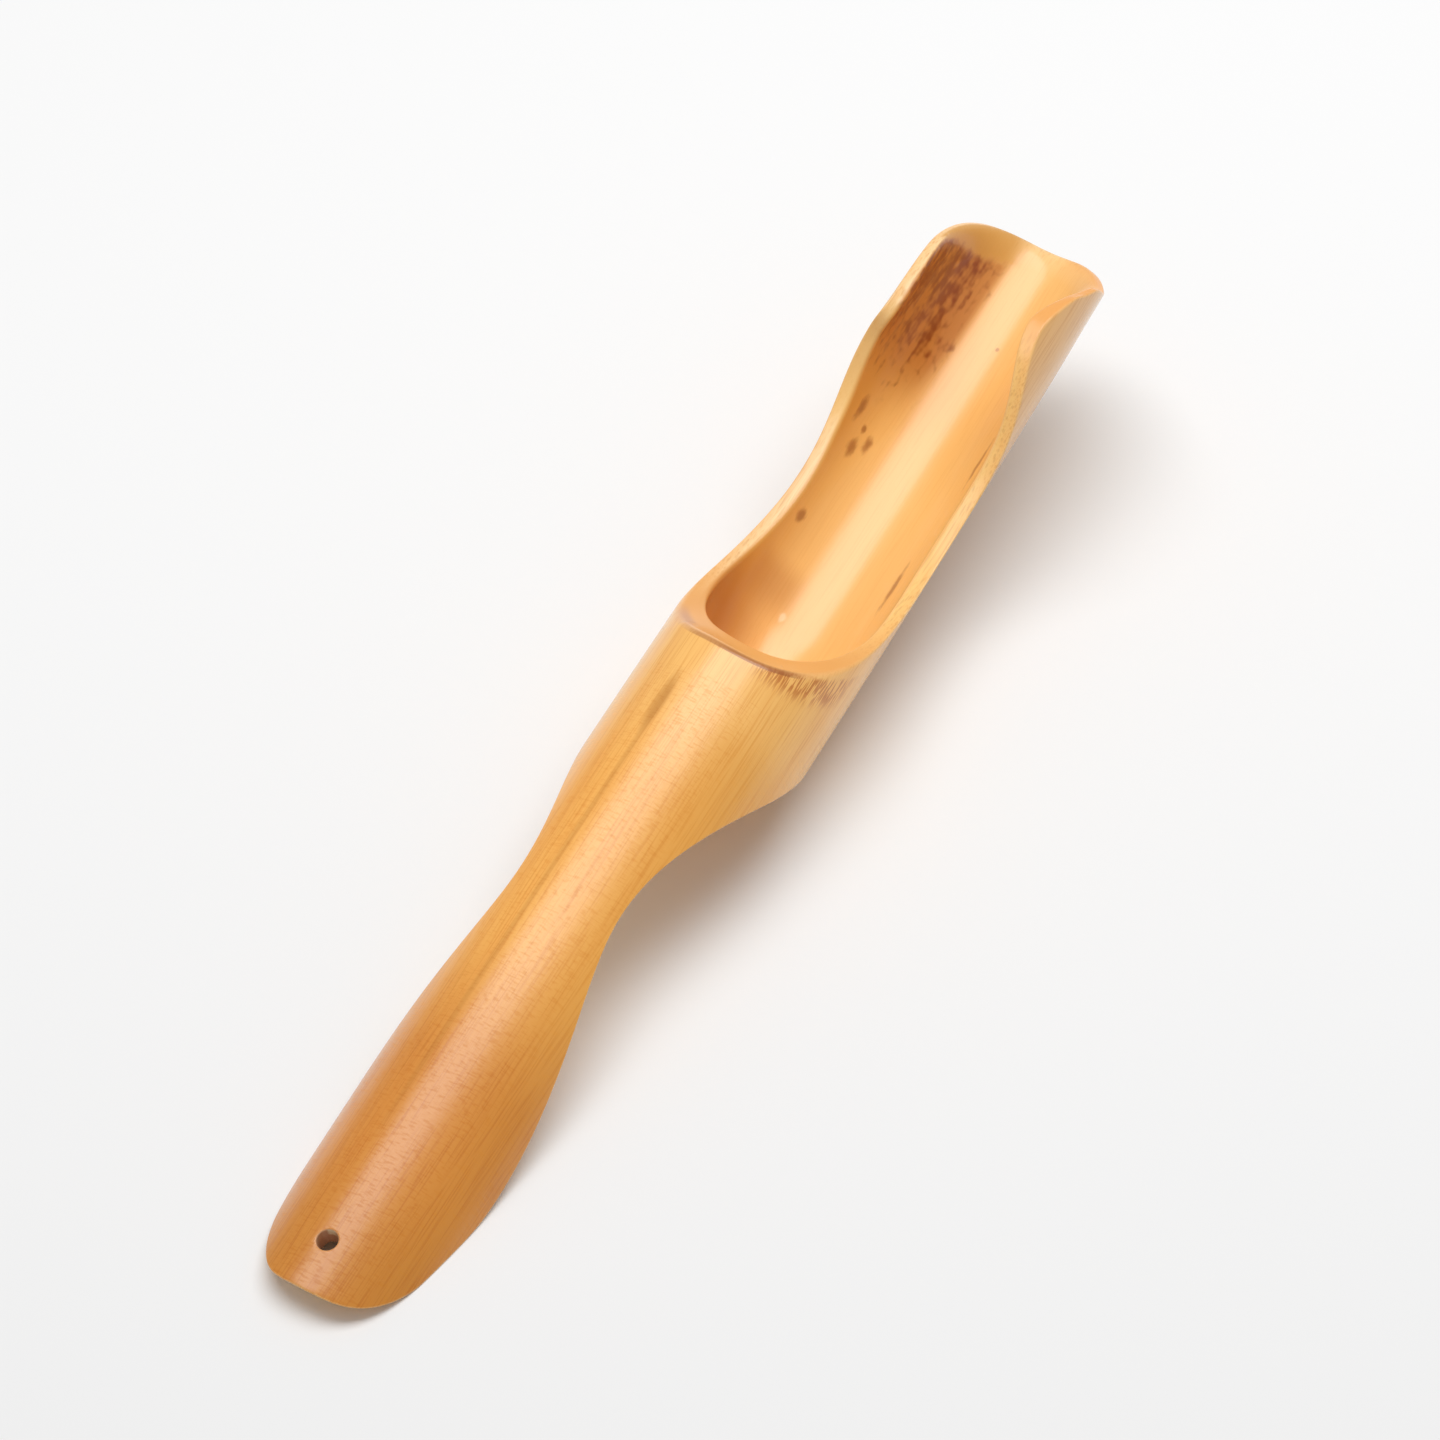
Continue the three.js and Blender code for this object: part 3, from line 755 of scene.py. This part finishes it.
pocket_cut = np.concatenate([hem_cut, round_share[::-1][1:]])


def arch_seam(line):
    """Seam behind the node, from the undercut's rim up to the crest, as x and angle: swept from the rim by a
    power of the share left, then square across."""
    share = np.linspace(0, 1, ARCH_STEPS + 1)
    x = -NODE_BEHIND + (line[0, behind] + NODE_BEHIND) * (1 - share) ** SEAM_SWEEP
    return np.stack([x, line[1, behind] + (math.pi - line[1, behind]) * share])


back_outer, back_inner = arch_seam(hem_wall), arch_seam(pocket_wall)
back_lines = on_wall(culm_radius, *back_outer)[::-1], on_wall(bore_radius, *back_inner)[::-1]
back_cap = seam_cap(*back_lines, pocket_strip[:, behind])
ring_back = np.concatenate([hem_wall[:, :behind], back_outer], axis=1)
ring_front = np.concatenate([front_outer[:, :-1], rim_wall[:, : seam + 1][:, ::-1]], axis=1)
bore_back = np.concatenate([pocket_wall[:, :behind], back_inner], axis=1)
bore_front = np.concatenate([front_inner[:, :-1], bore_wall[:, : seam + 1][:, ::-1]], axis=1)
ring_cut = np.zeros(RING_STEPS + 1)
ring_patches = [
    (on_wall(culm_radius, *between(ring_back, ring_front, RING_STEPS)), ring_cut),
    (on_wall(bore_radius, *between(bore_back, bore_front, RING_STEPS)), ring_cut),
    (rim_strip[:, : seam + 1], strip_cut),
    (pocket_strip[:, : behind + 1], pocket_cut),
    (front_cap, strip_cut),
    (back_cap, pocket_cut),
]
node_bamboo, look = bamboo("lacquered_bamboo_node")
node_marks(look)
varnish(look, NODE_SANDING, soaked(look, SKIN_COAT))
ring_mesh = bmesh.new()
add_grids(ring_mesh, [(carved_by_hand(grid), share) for grid, share in mirrored(ring_patches)])
ring = make_piece("node_collar", ring_mesh, node_bamboo)
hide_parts("node_ring")

# The septum is the thin wall that the plant grows across the node, in one with the ring, under the same
# lacquer. It closes the trough's back. Its front is dished and sweeps out into the bore, and its back is
# nearly flat.
SEPTUM_FRONT = 1.7
SEPTUM_MEETS_AT = 3.2
SEPTUM_SWEEP = 9.0
SEPTUM_BACK = 0.2
SEPTUM_BACK_SWEEP = 10.0
SEPTUM_BACK_DEPTH = 1.2
SEPTUM_SUNK = 0.05
SEPTUM_RINGS = 40
SEPTUM_TURNS = 48
SEPTUM_SANDING = 0.3

meet_radius = bore_radius(SEPTUM_MEETS_AT) + SEPTUM_SUNK
back_radius = bore_radius(0.0) + SEPTUM_SUNK
ring_share = np.linspace(0, 1, SEPTUM_RINGS)
front_x = SEPTUM_FRONT + (SEPTUM_MEETS_AT - SEPTUM_FRONT) * ring_share**SEPTUM_SWEEP
back_x = SEPTUM_BACK - SEPTUM_BACK_DEPTH * ring_share**SEPTUM_BACK_SWEEP
septum_size = np.concatenate([meet_radius * ring_share, back_radius * ring_share[::-1]])[:, None]
septum_turn = np.linspace(0, np.pi, SEPTUM_TURNS)
septum_y, septum_z = septum_size * np.sin(septum_turn), -septum_size * np.cos(septum_turn)
septum_x = np.repeat(np.concatenate([front_x, back_x[::-1]])[:, None], SEPTUM_TURNS, axis=1)
septum_grid = np.stack([septum_x, septum_y, septum_z], -1)
septum_bamboo, look = bamboo("lacquered_bamboo_septum")
varnish(look, SEPTUM_SANDING, SKIN_COAT)
septum_mesh = bmesh.new()
add_grids(septum_mesh, mirrored([(septum_grid, np.zeros(2 * SEPTUM_RINGS))]))
septum = make_piece("septum", septum_mesh, septum_bamboo)
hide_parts("node_septum")

# The handle is the internode behind the node, of the same bamboo, its underside sawn away to leave an arch
# with a waist and a grip. It is in one with the ring, and a hanging hole is drilled through by hand near its
# tip. Fine crosswise scratches, drawn coarse enough to show, have worn into its lacquer.
HOLLOW_STEPS = 24
POCKET_STEPS = 24
HOLE_RADIUS = 1.4
HOLE_AT = -96.4
HOLE_ASIDE = 0.6
HOLE_ROUND = 0.25
HOLE_CLEAR = 2.1
HOLE_SIDES = 48
HOLE_RINGS = 6
TIP_UP, TIP_BACK, TIP_SIDE = 3.5, (88.0, 99.0), (12.0, 45.0)
# Painted shade: the handle's right side, away from the light, is painted a deeper orange.
RIGHT_SIDE_SHADE, RIGHT_SIDE_SHADE_SHARE = "#E39A38", 0.35
RIGHT_SIDE_SHADE_ALONG, RIGHT_SIDE_SHADE_ACROSS = ((-70, -50), (-13, -5)), (-8, -1)
STREAK, STREAK_SHARE = "#C07A22", 0.35
STREAK_ALONG, STREAK_AROUND = ((-84, -70), (-9, -6)), ((38.5, 39.1), (39.3, 39.9))
STREAK_HEAD_AT, STREAK_HEAD_SIZE, STREAK_HEAD_SHARE = (-10.0, 38.9), (4.5, 0.9), 0.55
SCRATCH, SCRATCH_SHARE = "#DDB78E", 0.25
SCRATCH_WIDE, SCRATCH_LONG, SCRATCH_EDGE = 0.25, 1.2, (0.5, 0.68)
SCRATCH_ABOVE = (9.5, 12)
DRILLED, DRILLED_PAST, DRILLED_SOFT = "#DCAA80", 0.1, 0.05
# Painted highlight: a pale patch on the hole's far wall stands in for light falling into the hole.
HOLE_GLINT, HOLE_GLINT_DEPTH = "#FFF2CC", ((0.02, 0.06), (0.3, 0.45))
HOLE_GLINT_ASIDE, HOLE_GLINT_SIZE, HOLE_GLINT_SOFT = 0.2, 0.6, 0.3
HANDLE_SANDING, HANDLE_COAT = 1.0, 0.95
WORN_AWAY, WORN_ROUGHNESS = 0.36, 0.25


def from_crest(line):
    """Line on the wall with its angle measured down from the crest instead of up from the underside."""
    return np.stack([line[0], math.pi - line[1]])


def carved_tip(grid):
    """Tip left uneven by its carver: its left corner turned up about the culm's axis, more the nearer to the
    tip and the further from the crest."""
    x, y, z = np.moveaxis(grid, -1, 0)
    turn, size = np.arctan2(y, z), np.hypot(y, z)
    corner = smooth_share(-x, *TIP_BACK) * smooth_share(np.degrees(turn), *TIP_SIDE)
    turn = turn - math.radians(TIP_UP) * corner
    return np.stack([x, size * np.sin(turn), size * np.cos(turn)], -1)


arch_lines = back_outer[:, ::-1], hem_wall[:, behind : heel + 1], hem_wall[:, heel:][:, ::-1]
arch = tongue(*[from_crest(line) for line in arch_lines])
pocket_roof = between(back_inner, pocket_wall[:, behind:], POCKET_STEPS)
hollow_crest = np.stack([hollow_wall[0], np.full_like(hollow_wall[1], math.pi)])
hollow_roof = between(hollow_crest, hollow_wall, HOLLOW_STEPS)
handle_patches = [
    (on_wall(culm_radius, *from_crest(arch)), np.zeros(arch.shape[1])),
    (hem_strip[:, behind:], hem_cut),
    (pocket_curve[:, behind:], round_share),
    (hollow_curve, round_share),
    (on_wall(bore_radius, *pocket_roof), np.zeros(POCKET_STEPS + 1)),
    (on_wall(bore_radius, *hollow_roof), np.zeros(HOLLOW_STEPS + 1)),
    (back_cap, pocket_cut),
]
handle_mesh = bmesh.new()
add_grids(handle_mesh, [(carved_tip(grid), share) for grid, share in mirrored(handle_patches)])

hole_turn = np.linspace(0, 2 * np.pi, HOLE_SIDES + 1)


def hole_rim(radius, inward):
    """Sanded rim of the hole: curves bent from a wider circle on the wall, over the sharp rim, to the bore. A
    circle's height on the wall is the root of the wall's radius squared less the distance aside squared."""
    circles = []
    for size in (HOLE_RADIUS + HOLE_ROUND, HOLE_RADIUS):
        x, y = HOLE_AT + size * np.cos(hole_turn), HOLE_ASIDE + size * np.sin(hole_turn)
        circles.append(np.stack([x, y, np.sqrt(radius(x) ** 2 - y**2)], -1))
    wide, sharp = circles
    return bent(wide, sharp, sharp + (0, 0, inward * HOLE_ROUND))


hole_top, hole_under = hole_rim(culm_radius, -1), hole_rim(bore_radius, 1)
hole_wall = np.linspace(hole_top[-1], hole_under[-1], HOLE_RINGS + 1)
hole_grid = np.concatenate([hole_top, hole_wall[1:-1], hole_under[::-1]])
around_hole = [
    face
    for face in handle_mesh.faces
    if (face.calc_center_median().xy - Vector((HOLE_AT, HOLE_ASIDE))).length < HOLE_CLEAR
]
bmesh.ops.delete(handle_mesh, geom=around_hole, context="FACES")
add_grids(handle_mesh, [(hole_grid, np.zeros(len(hole_grid)))])
middle_height = hole_wall[:, :, 2].mean()
open_edges = [edge for edge in handle_mesh.edges if edge.is_boundary]
for above in (True, False):
    loops = [edge for edge in open_edges if (edge.verts[0].co.z > middle_height) == above]
    bmesh.ops.bridge_loops(handle_mesh, edges=loops)
handle_bamboo, look = bamboo("lacquered_bamboo_handle")
outside = stretch(look, look["depth"], fall=MID_WALL)
# Painted shade on the handle's right side, away from the light.
right_side_shade = stretch(look, look["x"], *RIGHT_SIDE_SHADE_ALONG), stretch(look, look["y"], fall=RIGHT_SIDE_SHADE_ACROSS)
paint(look, RIGHT_SIDE_SHADE, *right_side_shade, RIGHT_SIDE_SHADE_SHARE)
streak = stretch(look, look["x"], *STREAK_ALONG), stretch(look, look["around"], *STREAK_AROUND)
paint(look, STREAK, *streak, outside, STREAK_SHARE)
paint(look, STREAK, spot(look, "surface", STREAK_HEAD_AT, STREAK_HEAD_SIZE), outside, STREAK_HEAD_SHARE)
scratches = stretch(look, flecks(look, SCRATCH_WIDE, SCRATCH_LONG), SCRATCH_EDGE)
on_top = stretch(look, look["z"], SCRATCH_ABOVE)
paint(look, SCRATCH, scratches, on_top, outside, SCRATCH_SHARE, blend="MULTIPLY")
drilled_size = HOLE_RADIUS + DRILLED_PAST
drilled = spot(look, "culm", (HOLE_AT, HOLE_ASIDE), (drilled_size, drilled_size), DRILLED_SOFT)
paint(look, DRILLED, drilled)
# Painted highlight inside the hole, on its far wall.
glint_at = HOLE_AT + HOLE_RADIUS, HOLE_ASIDE + HOLE_GLINT_ASIDE
glint = spot(look, "culm", glint_at, (HOLE_GLINT_SIZE, HOLE_GLINT_SIZE), HOLE_GLINT_SOFT)
paint(look, HOLE_GLINT, glint, stretch(look, look["depth"], *HOLE_GLINT_DEPTH))
worn = {0: scratches, 1: -WORN_AWAY, 2: soaked(look, HANDLE_COAT)}
worn_coat = add_node(look["tree"], "Math", worn, operation="MULTIPLY_ADD")[0]
varnish(look, HANDLE_SANDING, worn_coat, WORN_ROUGHNESS)
handle = make_piece("handle", handle_mesh, handle_bamboo)
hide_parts("handle_arch")

# The table is a plain matt white sheet. One large soft light hangs over it, turned askew to the scoop, and
# the room's even light fills the shadows. Sizes here are in metres.
SHEET = "#F1F1F1"
SHEET_SIZE = 6.0
LIGHT_AT = (0.206, 0.068, 0.8)
LIGHT_ROLL = 23
LIGHT_LONG, LIGHT_WIDE = 1.04, 0.47
LIGHT_POWER = 6.35
ROOM_LIGHT, ROOM_LEVEL = "#FFFFFF", 0.365

bpy.ops.mesh.primitive_plane_add(size=SHEET_SIZE)
sheet = bpy.context.object
sheet.name = "table_sheet"
white_sheet = bpy.data.materials.new("matt_white_sheet")
white_sheet.use_nodes = True
tree = white_sheet.node_tree
tree.nodes.clear()
paper = add_node(tree, "BsdfDiffuse", {"Color": linear(SHEET)})[0]
add_node(tree, "OutputMaterial", {"Surface": paper})
sheet.data.materials.append(white_sheet)

light = bpy.data.objects.new("softbox", bpy.data.lights.new("softbox", "AREA"))
bpy.context.scene.collection.objects.link(light)
light.data.shape = "RECTANGLE"
light.data.size, light.data.size_y = LIGHT_LONG, LIGHT_WIDE
light.data.energy = LIGHT_POWER
light.location = LIGHT_AT
light.rotation_mode = "QUATERNION"
rolled = Quaternion((0, 0, 1), math.radians(LIGHT_ROLL))
light.rotation_quaternion = (-light.location).to_track_quat("-Z", "Y") @ rolled

room = bpy.data.worlds.new("room")
room.use_nodes = True
room_light = room.node_tree.nodes["Background"].inputs
room_light["Color"].default_value = linear(ROOM_LIGHT)
room_light["Strength"].default_value = ROOM_LEVEL
bpy.context.scene.world = room

# The camera looks down on the scoop from behind its tip and to its right, as the photograph does. Its place
# and lens come from fitting the scoop's outline.
CAMERA_AZIMUTH = -59.298
CAMERA_ELEVATION = 47.458
CAMERA_DISTANCE = 0.62534
CAMERA_AIM = (0.002831, 0.000497, 0.011528)
CAMERA_LENS, CAMERA_SENSOR = 116.23, 36

camera = bpy.data.objects.new("camera", bpy.data.cameras.new("camera"))
bpy.context.scene.collection.objects.link(camera)
azimuth, elevation = math.radians(CAMERA_AZIMUTH), math.radians(CAMERA_ELEVATION)
level_reach = math.cos(elevation)
back = Vector((math.sin(azimuth) * level_reach, -math.cos(azimuth) * level_reach, math.sin(elevation)))
camera.location = Vector(CAMERA_AIM) + back * CAMERA_DISTANCE
camera.rotation_mode = "QUATERNION"
camera.rotation_quaternion = (-back).to_track_quat("-Z", "Y")
camera.data.sensor_width = CAMERA_SENSOR
camera.data.lens = CAMERA_LENS
bpy.context.scene.camera = camera
bpy.context.scene.view_settings.view_transform = "Standard"
